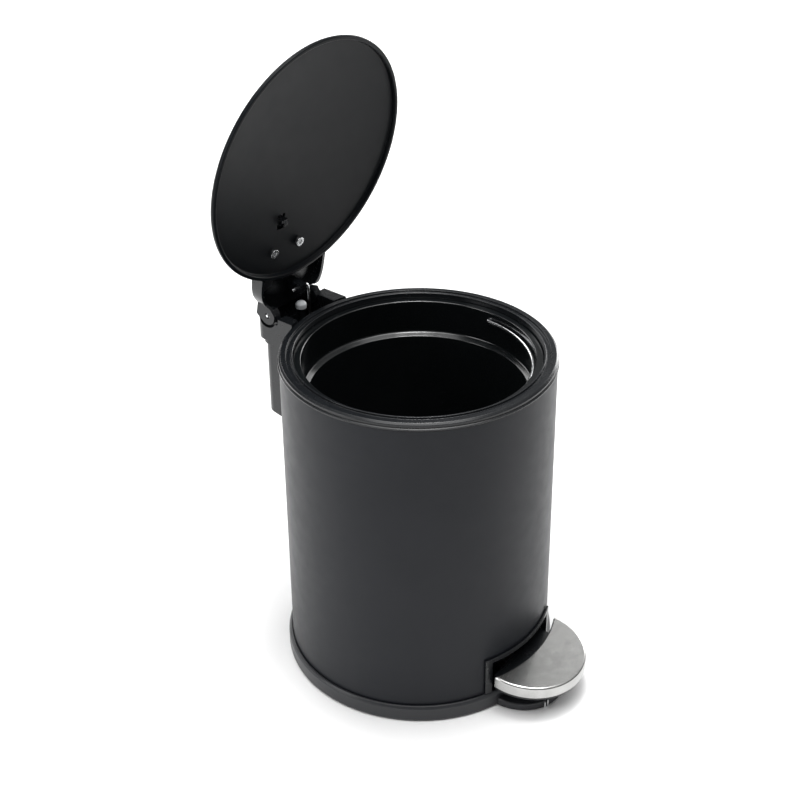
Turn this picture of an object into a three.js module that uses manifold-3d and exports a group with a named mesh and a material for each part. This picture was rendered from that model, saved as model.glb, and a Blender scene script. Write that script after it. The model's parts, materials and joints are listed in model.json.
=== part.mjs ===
// Five litre pedal bin, lid open and pedal pressed. Millimetres, +Z up.
// The origin is the centre of the underside, the hinge is towards +Y and the pedal towards -Y.

import * as THREE from 'three';
import { mergeVertices } from 'three/addons/utils/BufferGeometryUtils.js';
import Module from 'manifold-3d';

const wasm = await Module();
wasm.setup();

// ---------------------------------------------------------------- driving dimensions

const GAP = 0.3;                 // gap between pieces that touch or are fastened
const ROUND_STEPS = 48;          // sides of the large round shells

const BODY_R = 102.5;            // outside of the steel shell
const BODY_WALL = 1;
const BODY_BOTTOM = 6;
const BODY_TOP = 257;

const RIM_TOP = 262.9;           // top of the plastic rim ring
const RIM_R = 103.2;             // its bead, the widest place
const RIM_LEDGE_Z = 256.6;       // the bucket hangs on this ledge
const RIM_LEDGE_R = 90.2;
const RIM_MOUTH_R = 92.4;

const BASE_R = 105.8;            // base tray
const BASE_BOTTOM = 0.6;
const BASE_TOP = 14;
const FLOOR_Z0 = 3.2;            // underside of the tray's floor
const FLOOR_Z1 = 5.7;
const TONGUE_X = 2.5;            // centre and radius of the tongue under the pedal
const TONGUE_C = -100.5;
const TONGUE_R = 32.5;
const TONGUE_TOP = 7;

const COVER_R = 84;              // bottom cover, the face the bin stands on
const COVER_T = 2.8;
const FOOT_RING_R0 = 86;
const FOOT_RING_R1 = 98;
const BOTTOM_SCREW_R = 62;       // radius of the circle of bottom screws

const SLOT_ANGLE = 22;           // half width of the pedal slot, in degrees
const SLOT_MIDDLE = -88.5;       // direction of its middle
const SLOT_TOP = 45;
const WINDOW_HALF = 16;          // opening at the back for the push rod
const WINDOW_BOTTOM = 188;

const HINGE_Y = 125;           // lid hinge axis, along X
const HINGE_Z = 262.3;
const LID_OPEN = 78.7;          // degrees from closed
const LID_R = 97.9;
const LID_BOTTOM = 1.1;         // lid heights are measured from the hinge axis
const LID_EDGE_TOP = 4.9;
const LID_CROWN = 12;
const LID_SHEET = 0.9;

const ROD_D = 2.8;               // push rod wire
const ROD_X = 10.5;              // the rod runs this far to the right
const HOOK_Y = -14.5;              // upper hook, from the hinge axis with the lid closed
const HOOK_Z = -2;

const PEDAL_Y = -14;             // lever axle
const PEDAL_Z = 15;
const PEDAL_TILT = 5;            // the pressed pedal is this far below level, degrees
const LEVER_REAR = 106;          // lower rod joint, from the axle with the lever level
const LEVER_REAR_Z = 11;

const PEDAL_TURN = 3.9;          // the pedal's middle is this far round to the right, degrees
const PEDAL_ARC_C = -102.6;      // centre of the pedal's outer arc, from the bin's axis
const PEDAL_ARC_R = 43.4;
const PEDAL_INNER_R = 107.7;     // the pedal's hollow edge follows the body

const BUCKET_FLANGE_R = 91.9;
const BUCKET_NECK_R = 87.9;
const BUCKET_STEP_Z = 229.6;
const BUCKET_STEP_R = 83.2;
const BUCKET_FOOT_R = 76;
const BUCKET_BOTTOM = 45;
const BUCKET_WALL = 1.5;
const BUCKET_TOP = 258.5;

const BAIL_R = 84.2;
const BAIL_D = 2.6;
const BAIL_Z = 252;

const DAMPER_Y = 118;
const DAMPER_R = 6.3;
const DAMPER_BOTTOM = 180.4;
const DAMPER_TOP = 248.5;
const KNOB_R = 4.4;
const KNOB_Z0 = 259.4;
const KNOB_Z1 = 265;

const HOUSING_HALF = 31;         // upper block of the hinge housing
const HOUSING_BACK = 139;
const HOUSING_TOP = 263;
const COVER_HALF = 28;         // lower cover
const COVER_BACK = 134.5;
const HOUSING_SCREW_X = 19.5;
const HOUSING_SCREW_Z = 204;
const EARS = { left: [-26.9, -22], right: [19.8, 24.2] };
const CHEEKS = { left: [-30.5, -27.9], right: [16.9, 19.5] };
const PIN_R = 2;

// screws through the lid: x, and y from the hinge axis with the lid closed
const LID_SCREWS = { left: [-25, -52.6], right: [3, -52.6] };
const LATCH = { x: -16, y: -75.4, wide: 8.4, long: 12.4 };

const rad = THREE.MathUtils.degToRad;

// ---------------------------------------------------------------- materials

function finish(color, roughness, metalness) {
  return new THREE.MeshStandardMaterial({ color, roughness, metalness });
}

const paint = finish(0x35373a, 0.5, 0.3);
const blackPlastic = finish(0x141517, 0.5, 0);
const bucketPlastic = finish(0x0c0d0f, 0.6, 0);
const steel = finish(0xa6a8a9, 0.35, 0.9);
const wire = finish(0xc9cbcc, 0.2, 1);
const rubber = finish(0x1b1b1b, 0.9, 0);
const knobPlastic = finish(0xc4c7c9, 0.5, 0);

// ---------------------------------------------------------------- solids

function signedVolume(geometry) {
  const p = geometry.attributes.position;
  const index = geometry.index;
  const a = new THREE.Vector3();
  const b = new THREE.Vector3();
  const c = new THREE.Vector3();
  let sum = 0;
  for (let i = 0; i < index.count; i += 3) {
    a.fromBufferAttribute(p, index.getX(i));
    b.fromBufferAttribute(p, index.getX(i + 1));
    c.fromBufferAttribute(p, index.getX(i + 2));
    sum += a.dot(b.cross(c)) / 6;
  }
  return sum;
}

// A three.js geometry as a manifold solid, with shared vertices and faces pointing out.
function solid(source) {
  const bare = source.clone();
  bare.deleteAttribute('normal');
  bare.deleteAttribute('uv');
  const merged = mergeVertices(bare, 1e-4);
  const triVerts = Uint32Array.from(merged.index.array);
  if (signedVolume(merged) < 0) {
    for (let i = 0; i < triVerts.length; i += 3) {
      [triVerts[i + 1], triVerts[i + 2]] = [triVerts[i + 2], triVerts[i + 1]];
    }
  }
  const vertProperties = Float32Array.from(merged.attributes.position.array);
  const mesh = new wasm.Mesh({ numProp: 3, vertProperties, triVerts });
  mesh.merge();
  return new wasm.Manifold(mesh);
}

function geometryOf(manifold) {
  const out = manifold.getMesh();
  const geometry = new THREE.BufferGeometry();
  geometry.setAttribute('position', new THREE.BufferAttribute(out.vertProperties, 3));
  geometry.setIndex(new THREE.BufferAttribute(out.triVerts, 1));
  geometry.computeVertexNormals();
  return geometry;
}

// A profile of [radius, height] points turned about Z.
function turned(profile, sides = ROUND_STEPS) {
  const points = profile.map(([r, z]) => new THREE.Vector2(r, z));
  if (profile[0][0] > 0) points.push(points[0].clone());
  return solid(new THREE.LatheGeometry(points, sides).rotateX(Math.PI / 2));
}

function outline(points) {
  return new THREE.Shape(points.map(([u, v]) => new THREE.Vector2(u, v)));
}

// An XY outline raised from z0 to z1.
function raised(shape, z0, z1, curveSegments = 12) {
  const options = { depth: z1 - z0, bevelEnabled: false, curveSegments };
  return solid(new THREE.ExtrudeGeometry(shape, options).translate(0, 0, z0));
}

// A YZ outline drawn out from x0 to x1.
function drawnX(shape, x0, x1, curveSegments = 12) {
  const options = { depth: x1 - x0, bevelEnabled: false, curveSegments };
  const turn = new THREE.Matrix4().makeBasis(
    new THREE.Vector3(0, 1, 0),
    new THREE.Vector3(0, 0, 1),
    new THREE.Vector3(1, 0, 0),
  );
  return solid(new THREE.ExtrudeGeometry(shape, options).applyMatrix4(turn).translate(x0, 0, 0));
}

function block(x0, x1, y0, y1, z0, z1) {
  const box = new THREE.BoxGeometry(x1 - x0, y1 - y0, z1 - z0);
  return solid(box.translate((x0 + x1) / 2, (y0 + y1) / 2, (z0 + z1) / 2));
}

function rodX(r, x0, x1, y, z, sides = 24) {
  const rod = new THREE.CylinderGeometry(r, r, x1 - x0, sides).rotateZ(Math.PI / 2);
  return solid(rod.translate((x0 + x1) / 2, y, z));
}

function rodY(r, y0, y1, x, z, sides = 20) {
  return solid(new THREE.CylinderGeometry(r, r, y1 - y0, sides).translate(x, (y0 + y1) / 2, z));
}

function rodZ(r, z0, z1, x = 0, y = 0, sides = 24) {
  const rod = new THREE.CylinderGeometry(r, r, z1 - z0, sides).rotateX(Math.PI / 2);
  return solid(rod.translate(x, y, (z0 + z1) / 2));
}

// Part of a ring about Z, between two radii, centred on an angle in degrees.
function ringPart(r0, r1, z0, z1, middle, half) {
  const a0 = rad(middle - half);
  const a1 = rad(middle + half);
  const shape = new THREE.Shape();
  shape.absarc(0, 0, r1, a0, a1, false);
  shape.absarc(0, 0, r0, a1, a0, true);
  return raised(shape, z0, z1, 16);
}

// Round wire along straight runs between points, with rounded bends.
function bentWire(points, bend, radius, steps, sides = 10) {
  const path = new THREE.CurvePath();
  const p = points.map(([x, y, z]) => new THREE.Vector3(x, y, z));
  let from = p[0];
  for (let i = 1; i < p.length - 1; i += 1) {
    const reach = Math.min(bend, p[i].distanceTo(p[i - 1]) / 2.1, p[i].distanceTo(p[i + 1]) / 2.1);
    const before = p[i].clone().lerp(p[i - 1], reach / p[i].distanceTo(p[i - 1]));
    const after = p[i].clone().lerp(p[i + 1], reach / p[i].distanceTo(p[i + 1]));
    path.add(new THREE.LineCurve3(from, before));
    path.add(new THREE.QuadraticBezierCurve3(before, p[i], after));
    from = after;
  }
  path.add(new THREE.LineCurve3(from, p[p.length - 1]));
  return alongPath(path, radius, steps, sides);
}

function alongPath(path, radius, steps, sides) {
  const section = new THREE.Shape();
  section.absarc(0, 0, radius, 0, 2 * Math.PI, false);
  const options = { steps, extrudePath: path, bevelEnabled: false, curveSegments: sides / 2 };
  return solid(new THREE.ExtrudeGeometry(section, options));
}

function roundedBack(half, back, corner) {
  const shape = new THREE.Shape();
  shape.moveTo(-half, 60);
  shape.lineTo(half, 60);
  shape.lineTo(half, back - corner);
  shape.absarc(half - corner, back - corner, corner, 0, Math.PI / 2, false);
  shape.absarc(-half + corner, back - corner, corner, Math.PI / 2, Math.PI, false);
  return shape;
}

// ---------------------------------------------------------------- body and base

function outerBody() {
  const inner = BODY_R - BODY_WALL;
  let shell = turned([[inner, BODY_BOTTOM], [BODY_R, BODY_BOTTOM], [BODY_R, BODY_TOP], [inner, BODY_TOP]]);
  shell = shell.subtract(ringPart(95, 110, 0, SLOT_TOP, SLOT_MIDDLE, SLOT_ANGLE));
  shell = shell.subtract(block(-WINDOW_HALF, WINDOW_HALF, 90, 110, WINDOW_BOTTOM, BODY_TOP + 5));
  for (const side of [-1, 1]) {
    shell = shell.subtract(rodY(1.6, 90, 110, side * HOUSING_SCREW_X, HOUSING_SCREW_Z));
  }
  return shell;
}

function rimRing() {
  return turned([
    [101.2, BODY_TOP + GAP],
    [102.8, BODY_TOP + GAP],
    [RIM_R, 258.2],
    [102.9, 259.6],
    [102.9, RIM_TOP - 0.8],
    [102.2, RIM_TOP],
    [97.4, RIM_TOP],
    [97, RIM_TOP - 1.4],
    [94.3, RIM_TOP - 1.4],
    [93.9, RIM_TOP],
    [92.9, RIM_TOP],
    [RIM_MOUTH_R, RIM_TOP - 0.5],
    [RIM_MOUTH_R, RIM_LEDGE_Z],
    [RIM_LEDGE_R, RIM_LEDGE_Z],
    [RIM_LEDGE_R, RIM_LEDGE_Z - 1.7],
    [99.6, RIM_LEDGE_Z - 1.7],
    [99.6, 248],
    [101.2, 248],
  ]);
}

function tongue(inset, z0, z1) {
  const shape = new THREE.Shape();
  shape.absarc(TONGUE_X, TONGUE_C, TONGUE_R - inset, Math.PI, 2 * Math.PI, false);
  shape.lineTo(TONGUE_X + TONGUE_R - inset, -90);
  shape.lineTo(TONGUE_X - TONGUE_R + inset, -90);
  return raised(shape, z0, z1, 24);
}

function baseTray() {
  const inner = BODY_R + 0.4;
  let tray = turned([
    [0, FLOOR_Z0],
    [100.5, FLOOR_Z0],
    [100.5, BASE_BOTTOM],
    [BASE_R - 0.8, BASE_BOTTOM],
    [BASE_R, BASE_BOTTOM + 1],
    [BASE_R, BASE_TOP - 2],
    [BASE_R - 1.2, BASE_TOP],
    [inner, BASE_TOP],
    [inner, FLOOR_Z1],
    [0, FLOOR_Z1],
  ]);
  const pad = tongue(0, BASE_BOTTOM, TONGUE_TOP).subtract(rodZ(103.5, 0, 20, 0, 0, ROUND_STEPS));
  tray = tray.add(pad);
  // the lever drops into this gap in the wall
  tray = tray.subtract(block(-8, 8, -112, -98, 9.5, 20));
  for (const side of [-1, 1]) {
    const stand = drawnX(
      outline([[-26, 5], [-2, 5], [-7, 17], [-9, 21], [-19, 21], [-21, 17]]),
      side > 0 ? 8.5 : -14.5,
      side > 0 ? 14.5 : -8.5,
    );
    tray = tray.add(stand);
  }
  tray = tray.subtract(rodX(2.8, -30, 30, PEDAL_Y, PEDAL_Z));
  for (const [x, y] of bottomScrewPlaces()) {
    tray = tray.add(rodZ(4.5, 4.5, 12, x, y, 20)).subtract(rodZ(1.5, 0, 10.5, x, y, 16));
  }
  return tray;
}

function bottomScrewPlaces() {
  return [30, 150, 270].map((a) => [BOTTOM_SCREW_R * Math.cos(rad(a)), BOTTOM_SCREW_R * Math.sin(rad(a))]);
}

function bottomCover() {
  let cover = rodZ(COVER_R, 0, COVER_T, 0, 0, ROUND_STEPS);
  for (const [x, y] of bottomScrewPlaces()) {
    cover = cover.subtract(rodZ(3.6, -1, 1.7, x, y)).subtract(rodZ(1.6, 0, 5, x, y, 16));
  }
  return cover;
}

function bottomScrew([x, y]) {
  return rodZ(3.2, 0.2, 1.5, x, y, 20).add(rodZ(1.2, 1, 9.5, x, y, 16));
}

function footRing() {
  return turned([
    [FOOT_RING_R0, 0],
    [FOOT_RING_R1, 0],
    [FOOT_RING_R1 + 1, 1],
    [FOOT_RING_R1 + 1, COVER_T],
    [FOOT_RING_R0 - 1, COVER_T],
    [FOOT_RING_R0 - 1, 1],
  ]);
}

function slotTrim() {
  const face = ringPart(BODY_R + GAP, 104.6, BASE_TOP + GAP, 46.4, SLOT_MIDDLE, SLOT_ANGLE + 1.8);
  const lining = ringPart(100.4, 103.2, BASE_TOP + GAP, SLOT_TOP - 0.4, SLOT_MIDDLE, SLOT_ANGLE - 0.3);
  return face.add(lining).subtract(ringPart(99, 106, 10, 42.6, SLOT_MIDDLE, SLOT_ANGLE - 1.7));
}

function stopClip() {
  const x0 = -9.5;
  const front = TONGUE_C - Math.sqrt((TONGUE_R + 1) ** 2 - (x0 - TONGUE_X) ** 2) - 0.6;
  return bentWire(
    [[x0 - 1.9, front, 7.6], [x0 - 1.9, front, 2], [x0 + 1.9, front, 2], [x0 + 1.9, front, 7.6]],
    1,
    0.6,
    24,
    8,
  );
}

// ---------------------------------------------------------------- hinge housing

function hingeHousing() {
  const upper = raised(roundedBack(HOUSING_HALF, HOUSING_BACK, 10), 241, HOUSING_TOP, 8);
  const shoulder = raised(roundedBack(HOUSING_HALF - 2.2, HOUSING_BACK - 2.2, 10), 236.5, 242, 8);
  const lower = raised(roundedBack(COVER_HALF, COVER_BACK, 9), 160, 238, 8);
  let housing = upper.add(shoulder).add(lower);
  // slanted lower end
  const heel = outline([[50, 150], [150, 150], [150, 178.5], [134, 176], [103, 171], [50, 171]]);
  housing = housing.subtract(drawnX(heel, -40, 40));
  // room inside
  housing = housing.subtract(raised(hingeRoom(), 244, 270, 8));
  housing = housing.subtract(raised(roundedBack(COVER_HALF - 3, COVER_BACK - 2.5, 7), 180, 245, 8));
  // room for the end of the bracket's top wall, and a scallop where its left cheek turns
  const sweep = rodX(11.9, -HOUSING_HALF - 1, CHEEKS.right[1] + GAP, HINGE_Y, HINGE_Z, 32);
  housing = housing.subtract(sweep.intersect(block(-50, 50, 100, 150, HINGE_Z - 4.6, 290)));
  housing = housing.subtract(
    rodX(9.7, -HOUSING_HALF - 1, CHEEKS.left[1] + GAP, HINGE_Y, HINGE_Z, 24),
  );
  const ear = outline([[-7.5, -9.4], [7.5, -9.4], [5.5, 1.6], [3, 4.6], [-3, 4.6], [-5.5, 1.6]]
    .map(([y, z]) => [HINGE_Y + y, HINGE_Z + z]));
  housing = housing.add(drawnX(ear, ...EARS.left)).add(drawnX(ear, ...EARS.right));
  for (const side of [-1, 1]) {
    housing = housing.add(rodY(3.6, 101, 113, side * HOUSING_SCREW_X, HOUSING_SCREW_Z));
    const r0 = side > 0 ? HOUSING_SCREW_X : -COVER_HALF + 1;
    const r1 = side > 0 ? COVER_HALF - 1 : -HOUSING_SCREW_X;
    housing = housing.add(block(r0, r1, 101, 113, HOUSING_SCREW_Z - 1.2, HOUSING_SCREW_Z + 1.2));
    housing = housing.subtract(rodY(1.2, 98, 112, side * HOUSING_SCREW_X, HOUSING_SCREW_Z, 12));
  }
  housing = housing.subtract(rodX(PIN_R + GAP, -40, 40, HINGE_Y, HINGE_Z));
  housing = housing.subtract(rodX(3.3, EARS.right[1], 40, HINGE_Y, HINGE_Z));
  housing = housing.subtract(rodZ(BODY_R + GAP, 150, BODY_TOP + 0.2, 0, 0, ROUND_STEPS));
  return housing.subtract(rodZ(RIM_R + 0.4, BODY_TOP, 290, 0, 0, ROUND_STEPS));
}

// Plan of the space in which the bracket's end and the right cheek turn.
function hingeRoom() {
  const x0 = EARS.left[1];
  const x1 = CHEEKS.right[1] + GAP;
  const back = HOUSING_BACK - 2.6;
  const shape = new THREE.Shape();
  shape.moveTo(x0, 60);
  shape.lineTo(x1, 60);
  shape.lineTo(x1, back);
  shape.absarc(x0 + 7, back - 7, 7, Math.PI / 2, Math.PI, false);
  return shape;
}

function housingScrew(side) {
  const x = side * HOUSING_SCREW_X;
  return rodY(3, 96.8, 98.5, x, HOUSING_SCREW_Z).add(rodY(0.9, 98, 111, x, HOUSING_SCREW_Z, 12));
}

// A pin through a cheek and an ear; its head is at the end given first.
function hingePin(headX, tipX) {
  const inward = Math.sign(tipX - headX);
  const ends = (from, to) => [Math.min(from, to), Math.max(from, to)];
  const head = rodX(2.9, ...ends(headX, headX + inward * 0.9), HINGE_Y, HINGE_Z);
  return rodX(PIN_R, ...ends(headX, tipX), HINGE_Y, HINGE_Z).add(head);
}

function damperCylinder() {
  return turned([
    [0, DAMPER_BOTTOM],
    [DAMPER_R, DAMPER_BOTTOM],
    [DAMPER_R, DAMPER_TOP],
    [3.3, DAMPER_TOP],
    [3.3, DAMPER_BOTTOM + 6],
    [0, DAMPER_BOTTOM + 6],
  ], 24).translate([0, DAMPER_Y, 0]);
}

function damperRod() {
  const outline = [[0, 206], [2.9, 206], [2.9, KNOB_Z0 + 3], [0, KNOB_Z0 + 3]];
  return turned(outline, 20).translate([0, DAMPER_Y, 0]);
}

function damperKnob() {
  return turned([
    [3.2, KNOB_Z0],
    [KNOB_R - 0.8, KNOB_Z0],
    [KNOB_R, KNOB_Z0 + 1.2],
    [KNOB_R, KNOB_Z1 - 1.6],
    [KNOB_R - 1.4, KNOB_Z1],
    [0, KNOB_Z1],
    [0, KNOB_Z0 + 3.3],
    [3.2, KNOB_Z0 + 3.3],
  ].reverse(), 24).translate([0, DAMPER_Y, 0]);
}

// ------------------------------------------------------------ lid, modelled closed about the hinge axis

function domeZ(r) {
  const share = r / LID_R;
  return LID_CROWN - (LID_CROWN - LID_EDGE_TOP) * share * share;
}

function domeProfile(offset, from, to, steps) {
  return Array.from({ length: steps + 1 }, (_, i) => {
    const r = from + ((to - from) * i) / steps;
    return [r, domeZ(r) + offset];
  });
}

function lidBlank() {
  return turned([
    ...domeProfile(0, 0, 96.5, 4),
    [LID_R - 0.4, 4.1],
    [LID_R, 3.2],
    [LID_R, LID_BOTTOM + 0.8],
    [LID_R - 0.8, LID_BOTTOM],
    [LID_R - 2.6, LID_BOTTOM],
    [LID_R - 3.3, LID_BOTTOM + 0.9],
    ...domeProfile(-LID_SHEET, 94.2, 0, 4),
  ]);
}

function atLid(manifold) {
  return manifold.translate([0, -HINGE_Y, 0]);
}

function lidDisc() {
  let disc = atLid(lidBlank());
  for (const [x, y] of Object.values(LID_SCREWS)) disc = disc.subtract(rodZ(1.9, -5, 20, x, y, 20));
  const { x, y, wide, long } = LATCH;
  return disc.subtract(block(x - wide / 2, x + wide / 2, y - long / 2, y + long / 2, -5, 20));
}

// Everything under the lid's outside face, grown by the gap.
function lidRoom() {
  return atLid(turned([
    [0, -20],
    [LID_R + 0.4, -20],
    [LID_R + 0.4, 3],
    ...domeProfile(GAP, 97, 0, 4),
  ]));
}

function bracketPlan(inset) {
  const left = CHEEKS.left[0] + inset;
  const right = CHEEKS.right[1] - inset;
  const edge = new THREE.SplineCurve([
    [25.5 - inset, -3.2 - inset],
    [30.6 - inset, -11 - inset / 2],
    [32 - inset, -26],
    [30.5 - inset, -46],
    [25 - inset, -68],
    [15 - inset, -83 + inset],
    [2, -89 + inset],
    [-18, -89 + inset],
    [-29 + inset, -83 + inset],
    [-35 + inset, -66],
    [-38 + inset, -46],
    [-38.5 + inset, -28],
    [-36.5 + inset, -16],
    [left, -7],
  ].map(([x, y]) => new THREE.Vector2(x, y)));
  return outline([
    [right, 7.6 + 4 * inset],
    [right, -2.4 - inset],
    ...edge.getPoints(39).map((p) => [p.x, p.y]),
    [left, 7.6 + 4 * inset],
  ]);
}

function lidBracket() {
  const sideView = new THREE.Shape();
  sideView.moveTo(-90, 12.6);
  sideView.lineTo(-62, 13.8);
  sideView.lineTo(-8, 11);
  sideView.lineTo(3, 11);
  sideView.lineTo(5, 7.5);
  sideView.absarc(0, 0, 7.4, rad(20), -Math.PI / 2 - rad(24), true);
  sideView.lineTo(-10, 1.3);
  sideView.lineTo(-90, 1.3);
  let hood = raised(bracketPlan(0), -12, 20).intersect(drawnX(sideView, -45, 45));
  // room inside, leaving the top wall and the cheeks
  const room = outline([[-90, -14], [20, -14], [20, 3], [0, 8.4], [-8, 8.4], [-62, 11.3], [-90, 10.2]]);
  hood = hood.subtract(raised(bracketPlan(2.6), -14, 20).intersect(drawnX(room, -45, 45)));
  hood = hood.add(block(-2.4, 5, HOOK_Y - 4, HOOK_Y + 4, HOOK_Z - 4, 9));
  for (const [x, y] of Object.values(LID_SCREWS)) hood = hood.add(rodZ(4.6, 2, 12.6, x, y, 24));
  hood = hood.subtract(lidRoom());
  for (const [x, y] of Object.values(LID_SCREWS)) {
    hood = hood.subtract(rodZ(1.8, -5, 20, x, y, 20)).subtract(rodZ(3.6, 11, 20, x, y, 24));
  }
  const { x, y } = LATCH;
  hood = hood.subtract(block(x - 0.5, x + 4.7, y - 3.3, y + 3.3, 4, 11.4));
  hood = hood.subtract(rodX(PIN_R + GAP, -40, 40, 0, 0));
  // the shoulder clears the right ear and the top of the housing
  hood = hood.subtract(rodX(6.4, CHEEKS.right[1], 40, 0, 0, 24));
  hood = hood.subtract(block(CHEEKS.right[1], 40, -30, 20, -14, 1.3));
  return hood.subtract(rodX(ROD_D / 2 + 0.35, -12, 12, HOOK_Y, HOOK_Z, 16));
}

function lidScrew([x, y]) {
  const seat = domeZ(Math.hypot(x, y + HINGE_Y));
  return rodZ(3.2, 11.3, 12.8, x, y, 20).add(rodZ(1.4, seat - 3.9, 12, x, y, 16));
}

function lidNut([x, y]) {
  const seat = domeZ(Math.hypot(x, y + HINGE_Y)) - LID_SHEET - 1;
  return rodZ(3.8, seat - 2.4, seat, x, y, 24).subtract(rodZ(1.8, -10, 20, x, y, 16));
}

// A hook that stands in the lid's opening and reaches under its edge.
function bracketLatch() {
  const { x, y } = LATCH;
  const stem = block(x - 0.2, x + 3.6, y - 3, y + 3, 7.4, 11);
  const shelf = block(x - 0.2, x + 4, y - 3, y + 3, 5.6, 7.8);
  return stem.add(shelf).add(block(x - 2.6, x, y - 3, y - 0.6, 5.6, 7.2));
}

// ---------------------------------------------------------------- push rod, in the bin's own frame

function closedToOpen(y, z) {
  const a = -rad(LID_OPEN);
  return [HINGE_Y + y * Math.cos(a) - z * Math.sin(a), HINGE_Z + y * Math.sin(a) + z * Math.cos(a)];
}

function leverToWorld(y, z) {
  const a = rad(PEDAL_TILT);
  return [PEDAL_Y + y * Math.cos(a) - z * Math.sin(a), PEDAL_Z + y * Math.sin(a) + z * Math.cos(a)];
}

function pushRod() {
  const [topY, topZ] = closedToOpen(HOOK_Y, HOOK_Z);
  const [lowY, lowZ] = leverToWorld(LEVER_REAR, LEVER_REAR_Z);
  return bentWire([
    [-7, topY, topZ],
    [ROD_X, topY, topZ],
    [ROD_X, topY - 2, 236],
    [ROD_X, lowY + 0.4, 200],
    [ROD_X, lowY, lowZ],
    [-9, lowY, lowZ],
  ], 4, ROD_D / 2, 44, 8);
}

// ---------------------------------------------------------------- pedal, modelled level about its axle

function crescent(inset, innerR) {
  const outer = PEDAL_ARC_R - inset;
  // where the outer arc meets the hollow edge, which is centred on the bin's axis
  const along = (innerR ** 2 - outer ** 2 + PEDAL_ARC_C ** 2) / (-2 * PEDAL_ARC_C);
  const half = Math.sqrt(innerR ** 2 - along ** 2);
  const a = Math.atan2(-along - PEDAL_ARC_C, half);
  const b = Math.atan2(along, half);
  const shape = new THREE.Shape();
  shape.absarc(0, PEDAL_ARC_C, outer, Math.PI - a, 2 * Math.PI + a, false);
  shape.absarc(0, 0, innerR, -b, -Math.PI + b, true);
  return shape;
}

function pedalPlate(shape, z0, z1, curveSegments) {
  return raised(shape, z0, z1, curveSegments).rotate([0, 0, PEDAL_TURN]).translate([0, -PEDAL_Y, 0]);
}

function pedalCap() {
  const whole = pedalPlate(crescent(0, PEDAL_INNER_R), 16.2, 25.9, 28);
  return whole.subtract(pedalPlate(crescent(0.9, PEDAL_INNER_R - 3), 10, 25, 28));
}

function pedalPad() {
  const pad = pedalPlate(crescent(1.3, PEDAL_INNER_R - 0.5), 13.3, 24.6, 24);
  const neck = outline([[-37, -94], [30, -94], [30, -112], [-37, -112]]);
  return pad.add(pedalPlate(neck, 13.3, 20.3));
}

function pedalLever() {
  const side = outline([
    [-120, 6], [-20, 3], [-8, -5], [8, -5], [20, 2], [98, 3], [112.8, 3], [112.8, 18.5],
    [98, 18.5], [92, 13], [-120, 13],
  ]);
  const room = outline([[-119, 0], [-119, 11.5], [111.6, 11.5], [111.6, -2], [20, -7], [-20, -7]]);
  let lever = drawnX(side, -6, 6).subtract(drawnX(room, -4.5, 4.5));
  lever = lever.subtract(block(-4.5, 4.5, 96, 111.6, 0, 17));
  lever = lever.subtract(rodX(2.8, -10, 10, 0, 0));
  const eye = new THREE.Shape();
  eye.absarc(LEVER_REAR + 0.8, LEVER_REAR_Z, 4.2, -Math.PI / 2, Math.PI / 2, false);
  eye.absarc(LEVER_REAR - 1.9, LEVER_REAR_Z, 4.2, Math.PI / 2, 1.5 * Math.PI, false);
  return lever.subtract(drawnX(eye, -10, 10, 8));
}

function pedalAxle() {
  return rodX(2.5, -18.5, 18.5, PEDAL_Y, PEDAL_Z);
}

function axleClip(side) {
  const clip = rodX(5, 14.9, 16.1, PEDAL_Y, PEDAL_Z).subtract(rodX(2.8, 10, 20, PEDAL_Y, PEDAL_Z));
  return side > 0 ? clip : clip.mirror([1, 0, 0]);
}

// ---------------------------------------------------------------- bucket and its bail

function innerBucket() {
  const neck = BUCKET_NECK_R - BUCKET_WALL;
  const step = BUCKET_STEP_R - BUCKET_WALL;
  const foot = BUCKET_FOOT_R - BUCKET_WALL;
  let bucket = turned([
    [0, BUCKET_BOTTOM],
    [BUCKET_FOOT_R - 4, BUCKET_BOTTOM],
    [BUCKET_FOOT_R, BUCKET_BOTTOM + 4],
    [BUCKET_STEP_R, BUCKET_STEP_Z - 1.5],
    [BUCKET_NECK_R, BUCKET_STEP_Z],
    [BUCKET_NECK_R, RIM_LEDGE_Z + GAP],
    [BUCKET_FLANGE_R, RIM_LEDGE_Z + GAP],
    [BUCKET_FLANGE_R, BUCKET_TOP],
    [neck, BUCKET_TOP],
    [neck, BUCKET_STEP_Z + 1.2],
    [step, BUCKET_STEP_Z],
    [foot, BUCKET_BOTTOM + 4.6],
    [foot - 3, BUCKET_BOTTOM + 1.6],
    [0, BUCKET_BOTTOM + 1.6],
  ]);
  bucket = bucket.subtract(rodX(1.8, -100, 100, 0, BAIL_Z, 16));
  return bucket;
}

function bailHandle() {
  const bend = 2.6;
  const end = BUCKET_NECK_R + 1.4;
  const path = new THREE.CurvePath();
  const at = (x, y) => new THREE.Vector3(x, y, BAIL_Z);
  const a0 = Math.asin(bend / BAIL_R);
  path.add(new THREE.LineCurve3(at(end, 0), at(BAIL_R + bend, 0)));
  const start = at(BAIL_R * Math.cos(a0), -BAIL_R * Math.sin(a0));
  path.add(new THREE.QuadraticBezierCurve3(at(BAIL_R + bend, 0), at(BAIL_R, 0), start));
  const bow = [];
  for (let i = 0; i <= 32; i += 1) {
    const a = -a0 - ((Math.PI - 2 * a0) * i) / 32;
    bow.push(at(BAIL_R * Math.cos(a), BAIL_R * Math.sin(a)));
  }
  path.add(new THREE.CatmullRomCurve3(bow));
  const stop = bow[bow.length - 1].clone();
  path.add(new THREE.QuadraticBezierCurve3(stop, at(-BAIL_R, 0), at(-BAIL_R - bend, 0)));
  path.add(new THREE.LineCurve3(at(-BAIL_R - bend, 0), at(-end, 0)));
  return alongPath(path, BAIL_D / 2, 48, 8);
}

// ---------------------------------------------------------------- assembly

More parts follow.
